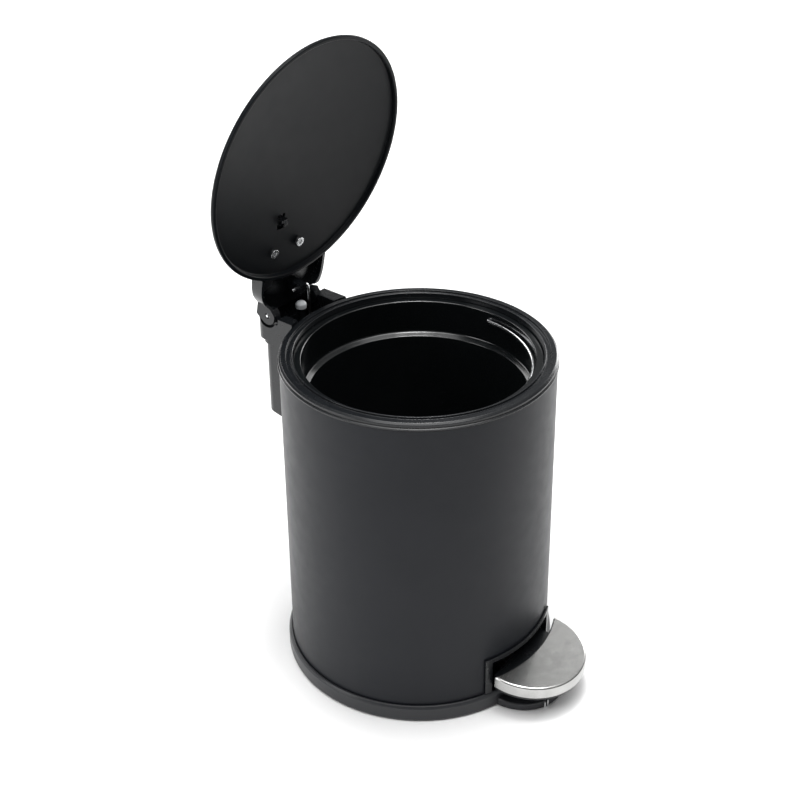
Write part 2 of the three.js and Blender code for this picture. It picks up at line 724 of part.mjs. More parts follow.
const bin = new THREE.Group();
const lid = new THREE.Group();
const pedal = new THREE.Group();
lid.position.set(0, HINGE_Y, HINGE_Z);
lid.rotation.x = -rad(LID_OPEN);
pedal.position.set(0, PEDAL_Y, PEDAL_Z);
pedal.rotation.x = rad(PEDAL_TILT);
bin.add(lid, pedal);

function place(name, manifold, material, group = bin) {
  const mesh = new THREE.Mesh(geometryOf(manifold), material);
  mesh.name = name;
  group.add(mesh);
}

place('outer_body', outerBody(), paint);
place('rim_ring', rimRing(), blackPlastic);
place('base_tray', baseTray(), blackPlastic);
place('bottom_cover', bottomCover(), blackPlastic);
place('foot_ring', footRing(), rubber);
bottomScrewPlaces().forEach((at, i) => place(`bottom_screw_${i + 1}`, bottomScrew(at), steel));
place('slot_trim', slotTrim(), blackPlastic);
place('stop_clip', stopClip(), wire);

place('hinge_housing', hingeHousing(), blackPlastic);
place('housing_screw_left', housingScrew(-1), steel);
place('housing_screw_right', housingScrew(1), steel);
place('hinge_pin_left', hingePin(-31.4, -21), wire);
place('hinge_pin_right', hingePin(25.5, 16), wire);
place('damper_cylinder', damperCylinder(), blackPlastic);
place('damper_rod', damperRod(), blackPlastic);
place('damper_knob', damperKnob(), knobPlastic);

place('lid_disc', lidDisc(), paint, lid);
place('lid_bracket', lidBracket(), blackPlastic, lid);
place('bracket_latch', bracketLatch(), blackPlastic, lid);
for (const [side, at] of Object.entries(LID_SCREWS)) {
  place(`lid_screw_${side}`, lidScrew(at), steel, lid);
  place(`lid_nut_${side}`, lidNut(at), wire, lid);
}

place('push_rod', pushRod(), wire);
place('pedal_lever', pedalLever(), steel, pedal);
place('pedal_pad', pedalPad(), blackPlastic, pedal);
place('pedal_cap', pedalCap(), steel, pedal);
place('pedal_axle', pedalAxle(), steel);
place('axle_clip_left', axleClip(-1), steel);
place('axle_clip_right', axleClip(1), steel);

place('inner_bucket', innerBucket(), bucketPlastic);
place('bail_handle', bailHandle(), wire);

export default bin;
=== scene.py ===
import json
import math

import bmesh
import bpy
from mathutils import Matrix, Vector


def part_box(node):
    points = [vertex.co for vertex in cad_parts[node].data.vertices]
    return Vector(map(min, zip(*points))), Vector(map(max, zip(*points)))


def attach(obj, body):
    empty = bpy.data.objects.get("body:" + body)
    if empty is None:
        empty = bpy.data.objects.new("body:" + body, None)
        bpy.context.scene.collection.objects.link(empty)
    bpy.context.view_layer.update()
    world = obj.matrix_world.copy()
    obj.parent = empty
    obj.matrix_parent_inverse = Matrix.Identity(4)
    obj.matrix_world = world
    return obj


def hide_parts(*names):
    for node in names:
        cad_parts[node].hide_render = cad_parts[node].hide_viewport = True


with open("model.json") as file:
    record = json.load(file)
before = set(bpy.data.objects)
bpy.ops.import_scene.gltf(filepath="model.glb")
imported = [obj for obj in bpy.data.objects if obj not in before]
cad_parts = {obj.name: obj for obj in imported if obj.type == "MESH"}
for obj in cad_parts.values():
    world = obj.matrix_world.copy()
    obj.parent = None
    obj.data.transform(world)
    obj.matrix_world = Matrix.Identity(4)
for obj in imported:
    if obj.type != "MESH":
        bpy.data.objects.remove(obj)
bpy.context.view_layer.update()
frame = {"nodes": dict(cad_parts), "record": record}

# lengths are in millimetres and angles in degrees, unless a name here or a call converts them
MM = 0.001
RECORD = frame["record"]
JOINTS = {j["name"]: j for j in RECORD["behaviour"]["joints"]}
HINGE = Vector(JOINTS["lid_hinge"]["pos_m"])
LID_OPEN = math.radians(JOINTS["lid_hinge"]["range_deg"][1])
PEDAL_AXLE = Vector(JOINTS["pedal_pivot"]["pos_m"])
PEDAL_TILT = math.radians(5)
BAIL_AXIS = Vector(JOINTS["bail_swing"]["pos_m"])
ROD_TOP = Vector(JOINTS["pushrod_pivot"]["pos_m"])

# places in which the closed lid and the level pedal are drawn
LID_FRAME = Matrix.Translation(HINGE) @ Matrix.Rotation(-LID_OPEN, 4, "X")
PEDAL_FRAME = Matrix.Translation(PEDAL_AXLE) @ Matrix.Rotation(PEDAL_TILT, 4, "X")

BODY_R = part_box("outer_body")[1].x / MM
BODY_Z0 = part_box("outer_body")[0].z / MM
BODY_Z1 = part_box("outer_body")[1].z / MM
RIM_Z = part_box("rim_ring")[1].z / MM
RIM_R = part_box("rim_ring")[1].x / MM
BASE_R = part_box("base_tray")[1].x / MM
BUCKET_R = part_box("inner_bucket")[1].x / MM
BUCKET_Z0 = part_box("inner_bucket")[0].z / MM
BUCKET_Z1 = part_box("inner_bucket")[1].z / MM
LID_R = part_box("lid_disc")[1].x / MM
# the pedal slot in the body: its top, half its angle, and the angle of its middle about Z
SLOT_TOP = 45
SLOT_HALF = 22
SLOT_MIDDLE = -88.5
SEGMENTS = 288


# ---------------------------------------------------------------- mesh helpers

def link(name, mesh):
    obj = bpy.data.objects.new(name, mesh)
    bpy.context.scene.collection.objects.link(obj)
    return obj


def mesh_from(name, verts, faces, matrix=None, merge=1e-6, drop_degenerate=False):
    """A closed mesh from points in millimetres; the matrix, in metres, puts it in its place."""
    mesh = bpy.data.meshes.new(name)
    mesh.from_pydata([Vector(v) * MM for v in verts], [], faces)
    bm = bmesh.new()
    bm.from_mesh(mesh)
    bmesh.ops.remove_doubles(bm, verts=bm.verts, dist=merge)
    if drop_degenerate:
        bmesh.ops.dissolve_degenerate(bm, edges=bm.edges, dist=1e-8)
    bmesh.ops.recalc_face_normals(bm, faces=bm.faces)
    bm.to_mesh(mesh)
    bm.free()
    if matrix is not None:
        mesh.transform(matrix)
    return mesh


def corner(points, steps=4):
    """Closed outline with its corners rounded; points are (u, v) or (u, v, radius)."""
    out = []
    count = len(points)
    for i, point in enumerate(points):
        here = Vector(point[:2])
        radius = point[2] if len(point) > 2 else 0
        if radius <= 0:
            out.append(tuple(here))
            continue
        before = Vector(points[i - 1][:2]) - here
        after = Vector(points[(i + 1) % count][:2]) - here
        turn = before.angle(after)
        if turn > math.radians(179) or turn < math.radians(1):
            out.append(tuple(here))
            continue
        reach = min(radius / math.tan(turn / 2), before.length * 0.49, after.length * 0.49)
        radius = reach * math.tan(turn / 2)
        a = here + before.normalized() * reach
        b = here + after.normalized() * reach
        middle = here + (before.normalized() + after.normalized()).normalized() * (
            radius / math.sin(turn / 2)
        )
        start = math.atan2(a.y - middle.y, a.x - middle.x)
        sweep = math.atan2(b.y - middle.y, b.x - middle.x) - start
        sweep = (sweep + math.pi) % (2 * math.pi) - math.pi
        for k in range(steps + 1):
            angle = start + sweep * k / steps
            out.append((middle.x + radius * math.cos(angle), middle.y + radius * math.sin(angle)))
    return out


def split_long(outline, longest):
    """Adds points along the long straight runs of an outline."""
    out = []
    for i, a in enumerate(outline):
        b = outline[(i + 1) % len(outline)]
        out.append(a)
        length = math.dist(a, b)
        parts = int(length // longest)
        for k in range(1, parts + 1):
            t = k / (parts + 1)
            out.append((a[0] + (b[0] - a[0]) * t, a[1] + (b[1] - a[1]) * t))
    return out


def lathe(name, profile, segments=SEGMENTS, matrix=None, longest=60):
    """Turns a closed (radius, height[, corner radius]) profile about Z."""
    outline = split_long(corner(profile), longest)
    verts = []
    faces = []
    count = len(outline)
    for k in range(segments):
        angle = 2 * math.pi * k / segments
        for r, z in outline:
            verts.append((r * math.cos(angle), r * math.sin(angle), z))
    for k in range(segments):
        following = (k + 1) % segments
        for i in range(count):
            j = (i + 1) % count
            if outline[i][0] < 1e-6 and outline[j][0] < 1e-6:
                continue
            quad = (k * count + i, following * count + i, following * count + j, k * count + j)
            faces.append(quad)
    return link(name, mesh_from(name, verts, faces, matrix, merge=1e-7, drop_degenerate=True))


def prism(name, outline, low, high, axis="Z", matrix=None):
    """Extrudes an outline: XY along Z, or YZ along X."""
    place = {
        "Z": lambda u, v, w: (u, v, w),
        "X": lambda u, v, w: (w, u, v),
    }[axis]
    count = len(outline)
    verts = [place(u, v, low) for u, v in outline] + [place(u, v, high) for u, v in outline]
    faces = [tuple(range(count)), tuple(range(2 * count - 1, count - 1, -1))]
    for i in range(count):
        j = (i + 1) % count
        faces.append((i, j, count + j, count + i))
    return link(name, mesh_from(name, verts, faces, matrix))


def arc(cx, cy, r, start, end, steps):
    """Points on a circle, from one angle to another."""
    points = []
    for k in range(steps + 1):
        a = math.radians(start + (end - start) * k / steps)
        points.append((cx + r * math.cos(a), cy + r * math.sin(a)))
    return points


def sector(r0, r1, middle, half):
    """The outline of a piece of a ring about Z."""
    steps = 48
    outer = arc(0, 0, r1, middle - half, middle + half, steps)
    return outer + arc(0, 0, r0, middle + half, middle - half, steps)


def settle(obj):
    """Applies the modifiers of a piece."""
    graph = bpy.context.evaluated_depsgraph_get()
    mesh = bpy.data.meshes.new_from_object(obj.evaluated_get(graph))
    obj.modifiers.clear()
    obj.data = mesh
    return obj


def cut(obj, *others):
    """Takes the other shapes away from a piece, and removes them."""
    for other in others:
        modifier = obj.modifiers.new("cut", "BOOLEAN")
        modifier.operation = "DIFFERENCE"
        modifier.solver = "EXACT"
        modifier.object = other
    settle(obj)
    for other in others:
        bpy.data.objects.remove(other)
    return obj


def bevel(obj, width, segments):
    modifier = obj.modifiers.new("edge", "BEVEL")
    modifier.width = width * MM
    modifier.segments = segments
    modifier.limit_method = "ANGLE"
    modifier.angle_limit = math.radians(30)
    modifier.use_clamp_overlap = True
    modifier.miter_outer = "MITER_ARC"
    return settle(obj)


def smooth(obj, angle=35):
    for face in obj.data.polygons:
        face.use_smooth = True
    obj.data.set_sharp_from_angle(angle=math.radians(angle))
    modifier = obj.modifiers.new("normals", "WEIGHTED_NORMAL")
    modifier.keep_sharp = True
    modifier.weight = 100
    return settle(obj)


def refined(node, width, segments=3, flat=2.0):
    """A copy of a CAD node with its edges rounded; faces within the flat angle are joined first."""
    source = frame["nodes"][node].data.copy()
    source.materials.clear()
    bm = bmesh.new()
    bm.from_mesh(source)
    bmesh.ops.remove_doubles(bm, verts=bm.verts, dist=2e-6)
    bmesh.ops.dissolve_limit(bm, angle_limit=math.radians(flat), verts=bm.verts, edges=bm.edges)
    bm.to_mesh(source)
    bm.free()
    return smooth(bevel(link(node + "_fine", source), width, segments))


def tube(name, points, radius):
    """Round wire along a path, with slightly rounded ends."""
    sides = 20
    end_share = 0.72
    end_length = 0.25
    path = [Vector(p) for p in points]
    tangents = []
    for i in range(len(path)):
        a = path[max(i - 1, 0)]
        b = path[min(i + 1, len(path) - 1)]
        tangents.append((b - a).normalized())
    helper = Vector((0, 0, 1)) if abs(tangents[0].z) < 0.9 else Vector((1, 0, 0))
    normal = tangents[0].cross(helper).normalized()
    rings = []
    for i, (p, t) in enumerate(zip(path, tangents)):
        if i:
            normal = tangents[i - 1].rotation_difference(t) @ normal
        rings.append((p, t, normal))
    start, start_t, start_n = rings[0]
    stop, stop_t, stop_n = rings[-1]
    shaped = [
        (start, start_n, start_t, end_share),
        (start + start_t * end_length * radius, start_n, start_t, 1),
    ]
    shaped += [(p, n, t, 1) for p, t, n in rings[1:-1]]
    shaped += [
        (stop - stop_t * end_length * radius, stop_n, stop_t, 1),
        (stop, stop_n, stop_t, end_share),
    ]
    verts = []
    for p, n, t, share in shaped:
        side = t.cross(n).normalized()
        for k in range(sides):
            a = 2 * math.pi * k / sides
            verts.append(p + (n * math.cos(a) + side * math.sin(a)) * radius * share)
    faces = [tuple(range(sides)), tuple(range(len(verts) - 1, len(verts) - sides - 1, -1))]
    for i in range(len(shaped) - 1):
        for k in range(sides):
            j = (k + 1) % sides
            faces.append((i * sides + k, i * sides + j, (i + 1) * sides + j, (i + 1) * sides + k))
    return smooth(link(name, mesh_from(name, verts, faces)), 50)


def rounded_path(points, bend, steps=8):
    """Straight runs between points, with each bend a parabola of the given reach."""
    p = [Vector(q) for q in points]
    out = [p[0]]
    for i in range(1, len(p) - 1):
        before = p[i - 1] - p[i]
        after = p[i + 1] - p[i]
        reach = min(bend, before.length / 2.1, after.length / 2.1)
        a = p[i] + before.normalized() * reach
        b = p[i] + after.normalized() * reach
        for k in range(steps + 1):
            t = k / steps
            out.append(a * (1 - t) ** 2 + p[i] * 2 * t * (1 - t) + b * t ** 2)
    out.append(p[-1])
    return out


# ---------------------------------------------------------------- materials

def new_material(name):
    material = bpy.data.materials.new(name)
    material.use_nodes = True
    nodes = material.node_tree.nodes
    links = material.node_tree.links
    shader = nodes["Principled BSDF"]
    where = nodes.new("ShaderNodeTexCoord")
    return material, nodes, links, shader, where


def noise(nodes, links, where, scale, detail=3, stretch=(1, 1, 1)):
    mapping = nodes.new("ShaderNodeMapping")
    mapping.inputs["Scale"].default_value = stretch
    links.new(where.outputs["Object"], mapping.inputs["Vector"])
    texture = nodes.new("ShaderNodeTexNoise")
    texture.inputs["Scale"].default_value = scale
    texture.inputs["Detail"].default_value = detail
    links.new(mapping.outputs["Vector"], texture.inputs["Vector"])
    return texture.outputs["Fac"]


def ramp(nodes, links, source, low, high, start=0.3, end=0.7):
    """Maps a 0 to 1 value to a colour, or to a number given as a grey."""
    node = nodes.new("ShaderNodeMapRange" if isinstance(low, float) else "ShaderNodeValToRGB")
    if isinstance(low, float):
        node.inputs["From Min"].default_value = start
        node.inputs["From Max"].default_value = end
        node.inputs["To Min"].default_value = low
        node.inputs["To Max"].default_value = high
        links.new(source, node.inputs["Value"])
        return node.outputs["Result"]
    node.color_ramp.elements[0].position = start
    node.color_ramp.elements[1].position = end
    node.color_ramp.elements[0].color = (*low, 1)
    node.color_ramp.elements[1].color = (*high, 1)
    links.new(source, node.inputs["Fac"])
    return node.outputs["Color"]


def bumped(nodes, links, shader, height, strength, distance):
    node = nodes.new("ShaderNodeBump")
    node.inputs["Strength"].default_value = strength
    node.inputs["Distance"].default_value = distance
    links.new(height, node.inputs["Height"])
    links.new(node.outputs["Normal"], shader.inputs["Normal"])


def coated(name, dark, light, rough, grain, strength, specular):
    """Powder coat or moulded plastic: fine grain, slow colour drift, slightly uneven gloss."""
    material, nodes, links, shader, where = new_material(name)
    drift = noise(nodes, links, where, 22, 4)
    fine = noise(nodes, links, where, grain, 2)
    links.new(ramp(nodes, links, drift, dark, light), shader.inputs["Base Color"])
    uneven = noise(nodes, links, where, 90, 3)
    links.new(ramp(nodes, links, uneven, rough[0], rough[1]), shader.inputs["Roughness"])
    shader.inputs["Specular IOR Level"].default_value = specular
    bumped(nodes, links, shader, fine, strength, 0.00006)
    return material


def steel(name, dark, light, rough, stretch, strength):
    """Brushed or plated steel, with faint mottling; stretch packs the grain closer along each axis."""
    material, nodes, links, shader, where = new_material(name)
    mottle = noise(nodes, links, where, 120, 5)
    brush = noise(nodes, links, where, 900, 2, stretch)
    links.new(ramp(nodes, links, mottle, dark, light, 0.25, 0.75), shader.inputs["Base Color"])
    links.new(ramp(nodes, links, brush, rough[0], rough[1]), shader.inputs["Roughness"])
    shader.inputs["Metallic"].default_value = 1.0
    bumped(nodes, links, shader, brush, strength, 0.00003)
    return material


MATERIALS = {
    "body_paint": coated(
        "body_paint", dark=(0.0078, 0.0090, 0.0120), light=(0.0096, 0.0108, 0.0140),
        rough=(0.38, 0.44), grain=1900, strength=0.12, specular=0.21,
    ),
    "lid_paint": coated(
        "lid_paint", dark=(0.0036, 0.0046, 0.0058), light=(0.0046, 0.0056, 0.0070),
        rough=(0.34, 0.40), grain=1900, strength=0.12, specular=0.10,
    ),
    "black_plastic": coated(
        "black_plastic", dark=(0.0062, 0.0072, 0.0086), light=(0.0080, 0.0090, 0.0104),
        rough=(0.22, 0.29), grain=1300, strength=0.10, specular=0.42,
    ),
    # a lighter copy of black_plastic for the base tray and tongue: its lift in colour is painted
    # reflection of the bright floor
    "base_plastic": coated(
        "base_plastic", dark=(0.019, 0.020, 0.023), light=(0.023, 0.024, 0.027),
        rough=(0.28, 0.36), grain=1300, strength=0.10, specular=0.42,
    ),
    "bucket_plastic": coated(
        "bucket_plastic", dark=(0.0035, 0.0044, 0.0048), light=(0.0050, 0.0060, 0.0066),
        rough=(0.13, 0.19), grain=1300, strength=0.05, specular=0.75,
    ),
    "foot_rubber": coated(
        "foot_rubber", dark=(0.008, 0.008, 0.008), light=(0.014, 0.014, 0.014),
        rough=(0.75, 0.85), grain=1100, strength=0.3, specular=0.3,
    ),
    "knob_plastic": coated(
        "knob_plastic", dark=(0.50, 0.52, 0.54), light=(0.56, 0.58, 0.60),
        rough=(0.38, 0.46), grain=1400, strength=0.08, specular=0.5,
    ),
    "pedal_steel": steel(
        "pedal_steel", dark=(0.44, 0.44, 0.43), light=(0.54, 0.54, 0.53),
        rough=(0.20, 0.28), stretch=(1, 9, 9), strength=0.05,
    ),
    "plain_steel": steel(
        "plain_steel", dark=(0.36, 0.37, 0.38), light=(0.46, 0.47, 0.48),
        rough=(0.3, 0.42), stretch=(1, 1, 1), strength=0.08,
    ),
    "bright_wire": steel(
        "bright_wire", dark=(0.70, 0.71, 0.72), light=(0.80, 0.81, 0.82),
        rough=(0.16, 0.24), stretch=(1, 1, 1), strength=0.03,
    ),
}

SLOT_OF = {s["node"]: s["material_slot"] for s in RECORD["subparts"]}


def finish_piece(obj, body, *nodes, slot=None, look=None):
    """Puts a fine piece in place of its CAD nodes; look names a material other than its slot's."""
    slot = slot or SLOT_OF[nodes[0]]
    obj.data.materials.clear()
    obj.data.materials.append(MATERIALS[look or slot])
    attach(obj, body)
    if nodes:
        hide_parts(*nodes)
    return obj


# ---------------------------------------------------------------- body and rim

def make_body():
    wall = 1.0
    shell = lathe("body_shell", [
        (BODY_R - wall, BODY_Z0, 0.2),
        (BODY_R, BODY_Z0, 0.4),
        (BODY_R, BODY_Z1, 0.5),
        (BODY_R - wall, BODY_Z1, 0.3),
    ], longest=50)
    slot = prism("slot_cut", sector(95, 110, SLOT_MIDDLE, SLOT_HALF), 0, SLOT_TOP)
    window = prism("window_cut", [(-16, 90), (16, 90), (16, 110), (-16, 110)], 188, 300)
    cut(shell, slot, window)
    finish_piece(smooth(shell, 30), "frame", "outer_body")


def make_rim():
    top = RIM_Z
    groove = top - 1.6
    ring = lathe("rim_ring_fine", [
        (101.2, 257.3),
        (102.7, 257.3, 0.3),
        (RIM_R + 0.4, 257.5, 0.4),
        (RIM_R + 0.4, 258.6, 0.3),
        (102.3, 259.4, 0.12),
        (102.3, 259.8, 0.12),
        (102.8, 260.0, 0.2),
        (102.8, top - 1.3, 0.6),
        (101.2, top, 0.8),
        (97.5, top, 0.35),
        (97.1, groove, 0.3),
        (94.2, groove, 0.3),
        (93.8, top, 0.4),
        (92.4, top, 0.6),
        (92.4, 256.6, 0.2),
        (90.2, 256.6, 0.2),
        (90.2, 254.9, 0.3),
        (99.6, 254.9, 1.0),
        (99.6, 248, 0.3),
        (101.2, 248, 0.3),
    ], longest=20)
    finish_piece(smooth(ring, 40), "frame", "rim_ring")


# ---------------------------------------------------------------- base

# the tongue under the pedal: the middle of its round end, and its radius
TONGUE = Vector((2.5, -100.5))
TONGUE_R = 32.5


def tongue_outline(radius):
    side = arc(TONGUE.x, TONGUE.y, radius, 180, 360, 72)
    return side + [(TONGUE.x + radius, -92), (TONGUE.x - radius, -92)]


def rounded_slab(name, outline_of, low, high, round_top, round_bottom, steps=5):
    """A slab whose outline shrinks at its rounded top and bottom edges; outline_of(inset) gives it."""
    rings = []
    for k in range(steps + 1):
        a = math.pi / 2 * k / steps
        rings.append((round_bottom * (1 - math.sin(a)), low + round_bottom * (1 - math.cos(a))))
    for k in range(steps + 1):
        a = math.pi / 2 * k / steps
        rings.append((round_top * (1 - math.cos(a)), high - round_top * (1 - math.sin(a))))
    verts = []
    count = len(outline_of(0))
    for inset, z in rings:
        verts += [(x, y, z) for x, y in outline_of(inset)]
    faces = [tuple(range(count)), tuple(range(len(verts) - 1, len(verts) - count - 1, -1))]
    for i in range(len(rings) - 1):
        for k in range(count):
            j = (k + 1) % count
            faces.append((i * count + k, i * count + j, (i + 1) * count + j, (i + 1) * count + k))
    return link(name, mesh_from(name, verts, faces))


def make_base():
    tray = lathe("base_tray_ring", [
        (0, 3.2),
        (100.5, 3.2, 0.4),
        (100.5, 0.6, 0.3),
        (BASE_R - 0.5, 0.6, 0.8),
        (BASE_R, 2.2, 1.5),
        (BASE_R - 0.1, 11.6, 2.0),
        (BASE_R - 1.3, 14, 1.0),
        (102.9, 14, 0.3),
        (102.9, 5.7, 0.6),
        (0, 5.7),
    ], longest=30)
    notch = prism("notch", [(-8, -112), (8, -112), (8, -98), (-8, -98)], 9.5, 20)
    cut(tray, notch)
    # the tray wears the lighter copy of black plastic, whose lift is painted reflection of the floor
    finish_piece(smooth(tray, 40), "frame", "base_tray", look="base_plastic")
    tongue = rounded_slab("base_tongue", lambda i: tongue_outline(TONGUE_R - i), 0.6, 7, 1.4, 0.7)
    hole = lathe("tongue_cut", [(0, -5), (104.2, -5), (104.2, 20), (0, 20)], 192)
    cut(tongue, hole)
    # the tongue also wears the lighter copy of black plastic, painted reflection of the floor
    finish_piece(smooth(tongue, 40), "frame", slot="black_plastic", look="base_plastic")
    outline = corner([(-26, 5), (-2, 5), (-7, 17, 3), (-9, 21, 3), (-19, 21, 3), (-21, 17, 3)], 5)
    for name, low, high in (("axle_stand_left", -14.5, -8.5), ("axle_stand_right", 8.5, 14.5)):
        stand = bevel(prism(name, outline, low, high, "X"), 0.4, 2)
        finish_piece(smooth(stand), "frame", slot="black_plastic")
    cover = lathe("bottom_cover_fine", [
        (0, 0), (84, 0, 0.5), (84, 2.8, 0.4), (0, 2.8),
    ], longest=30)
    cuts = []
    for k in range(1, 4):
        low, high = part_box(f"bottom_screw_{k}")
        centre = (low + high) / (2 * MM)
        place = Matrix.Translation((centre.x * MM, centre.y * MM, 0))
        cuts.append(lathe("screw_seat", [(0, -1), (3.6, -1), (3.6, 1.7), (0, 1.7)], 48, place))
    cut(cover, *cuts)
    finish_piece(smooth(cover), "frame", "bottom_cover")
    foot = lathe("foot_ring_fine", [
        (85, 2.8, 0.3), (85, 0, 0.8), (99, 0, 0.8), (99, 2.8, 0.3),
    ])
    finish_piece(smooth(foot), "frame", "foot_ring")


def make_trim():
    finish_piece(refined("slot_trim", 0.5, 3), "frame", "slot_trim")
    finish_piece(refined("stop_clip", 0.05, 1, flat=0.5), "frame", "stop_clip")


# ---------------------------------------------------------------- hinge

def make_pin(side):
    """A stepped pin whose narrow end shows in the middle of the cheek's bore."""
    node = f"hinge_pin_{side}"
    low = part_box(node)[0].x / MM
    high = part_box(node)[1].x / MM
    length = high - low
    place = Matrix.Translation((low * MM, HINGE.y, HINGE.z)) @ Matrix.Rotation(math.pi / 2, 4, "Y")
    pin = lathe(node + "_fine", [
        (0, 0.5),
        (1.3, 0.5, 0.6),
        (1.3, 1.9, 0.1),
        (1.9, 1.9, 0.3),
        (1.9, length - 1.9, 0.3),
        (1.3, length - 1.9, 0.1),
        (1.3, length - 0.5, 0.6),
        (0, length - 0.5),
    ], 48, place)
    finish_piece(smooth(pin), "frame", node)


def make_hinge():
    finish_piece(refined("hinge_housing", 0.55, 3, flat=1.0), "frame", "hinge_housing")
    for side in ("left", "right"):
        make_pin(side)
    centre = (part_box("damper_knob")[0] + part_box("damper_knob")[1]) / 2
    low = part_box("damper_knob")[0].z / MM
    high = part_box("damper_knob")[1].z / MM
    stand = Matrix.Translation((centre.x, centre.y, 0))
    knob = lathe("damper_knob_fine", [
        (0, low + 3.3),
        (3.2, low + 3.3),
        (3.2, low),
        (4.3, low, 0.7),
        (4.3, high - 1.8, 1.2),
        (2.7, high, 1.2),
        (0, high),
    ], 64, stand)
    finish_piece(smooth(knob), "plunger", "damper_knob")
    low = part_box("damper_rod")[0].z / MM
    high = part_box("damper_rod")[1].z / MM
    rod = lathe("damper_rod_fine", [(0, low), (2.9, low, 0.4), (2.9, high, 0.4), (0, high)], 48, stand)
    finish_piece(smooth(rod), "plunger", "damper_rod")
    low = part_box("damper_cylinder")[0].z / MM
    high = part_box("damper_cylinder")[1].z / MM
    cylinder = lathe("damper_cylinder_fine", [
        (0, low),
        (6.3, low, 0.8),
        (6.3, high, 0.6),
        (3.3, high, 0.3),
        (3.3, low + 6),
        (0, low + 6),
    ], 64, stand)
    finish_piece(smooth(cylinder), "frame", "damper_cylinder")


# ---------------------------------------------------------------- lid

# the dome's height in the middle and at the edge, its sheet, and the middle of the latch opening
CROWN = 12
EDGE_TOP = 4.9
LID_SHEET = 0.9
LATCH = Vector((-16, -75.4))


def dome(r, offset=0.0):
    """Height of the closed lid's top above the hinge axis, at r from its middle, moved by offset."""
    share = r / LID_R
    return CROWN - (CROWN - EDGE_TOP) * share * share + offset


def make_lid():
    centre = -HINGE.y / MM
    profile = [(r, dome(r)) for r in range(0, 96, 5)]
    profile += [(97.0, dome(97.0), 0.9), (LID_R, 3.1, 0.9), (LID_R, 1.1, 0.9)]
    profile += [(LID_R - 2.9, 1.1, 0.9), (LID_R - 3.4, 2.2, 0.4), (94.1, dome(94.1, -LID_SHEET), 0.8)]
    profile += [(r, dome(r, -LID_SHEET)) for r in range(90, -1, -5)]
    place = LID_FRAME @ Matrix.Translation((0, centre * MM, 0))
    disc = lathe("lid_disc_fine", profile, matrix=place, longest=30)
    opening = corner([
        (LATCH.x - 4.2, LATCH.y - 6.2, 1),
        (LATCH.x + 4.2, LATCH.y - 6.2, 1),
        (LATCH.x + 4.2, LATCH.y + 6.2, 1),
        (LATCH.x - 4.2, LATCH.y + 6.2, 1),
    ])
    cut(disc, prism("latch_hole", opening, -5, 20, matrix=LID_FRAME))
    finish_piece(smooth(disc, 30), "lid", "lid_disc")
    finish_piece(refined("lid_bracket", 0.6, 3, flat=1.0), "lid", "lid_bracket")
    finish_piece(refined("bracket_latch", 0.3, 2), "lid", "bracket_latch")
    for side in ("left", "right"):
        finish_piece(refined(f"lid_nut_{side}", 0.3, 3), "lid", f"lid_nut_{side}")
        finish_piece(refined(f"lid_screw_{side}", 0.25, 2), "lid", f"lid_screw_{side}")


# ---------------------------------------------------------------- push rod, pedal

def make_push_rod():
    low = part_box("push_rod")[0] / MM
    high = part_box("push_rod")[1] / MM
    radius = 1.4
    top = ROD_TOP / MM
    bottom = Vector((0, low.y + radius, low.z + radius))
    x = high.x - radius
    path = rounded_path([
        (low.x + 2, top.y, top.z),
        (x, top.y, top.z),
        (x, top.y - 2, 236),
        (x, bottom.y + 0.4, 200),
        (x, bottom.y, bottom.z),
        (low.x, bottom.y, bottom.z),
    ], 4, 10)
    finish_piece(tube("push_rod_fine", path, radius), "rod", "push_rod")


# the pedal's outer arc is about (0, ARC_C); its hollow edge is about the body's middle
ARC_C = -102.6
ARC_R = 43.4
HOLLOW_R = 107.7
PEDAL_TURN = math.radians(3.9)
CAP_SHEET = 0.9


def crescent(inset, hollow):
    """The pedal seen from above: an outer arc, and a hollow edge that follows the body."""
    steps = 96
    outer = ARC_R - inset
    along = (hollow * hollow - outer * outer + ARC_C * ARC_C) / (-2 * ARC_C)
    half = math.sqrt(hollow * hollow - along * along)
    a = math.degrees(math.atan2(-along - ARC_C, half))
    b = math.degrees(math.atan2(along, half))
    outline = arc(0, ARC_C, outer, 180 - a, 360 + a, steps)
    return outline + arc(0, 0, hollow, -b, -180 + b, steps)[1:-1]


def make_pedal():
    low = 16.2
    high = 25.9
    cap = rounded_slab(
        "pedal_cap_fine", lambda i: crescent(i, HOLLOW_R + i * 0.35), low, high, 1.9, 0.25, 6
    )
    hollow = rounded_slab(
        "pedal_hollow", lambda i: crescent(CAP_SHEET + i, HOLLOW_R - 3), 14, high - CAP_SHEET, 1.2, 0, 4
    )
    cut(cap, hollow)
    turned = Matrix.Translation((0, -PEDAL_AXLE.y, 0)) @ Matrix.Rotation(PEDAL_TURN, 4, "Z")
    cap.data.transform(PEDAL_FRAME @ turned)
    finish_piece(smooth(cap, 28), "pedal", "pedal_cap")
    finish_piece(refined("pedal_pad", 0.5, 3), "pedal", "pedal_pad")
    finish_piece(refined("pedal_lever", 0.35, 2), "pedal", "pedal_lever")


# ---------------------------------------------------------------- bucket and bail

STEP_Z = 229.6


def make_bucket():
    z0 = BUCKET_Z0
    z1 = BUCKET_Z1
    bucket = lathe("inner_bucket_fine", [
        (0, z0),
        (72, z0, 3),
        (76, z0 + 4, 3),
        (83.2, STEP_Z - 1.5, 0.6),
        (87.9, STEP_Z, 0.8),
        (87.9, 256.9, 0.3),
        (BUCKET_R, 256.9, 0.3),
        (BUCKET_R, z1, 0.7),
        (86.4, z1, 0.8),
        (86.4, STEP_Z + 2.2, 1.8),
        (81.8, STEP_Z + 0.2, 0.8),
        (74.5, z0 + 4.6, 3),
        (71.5, z0 + 1.6, 2),
        (0, z0 + 1.6),
    ], longest=25)
    finish_piece(smooth(bucket, 40), "bucket", "inner_bucket")


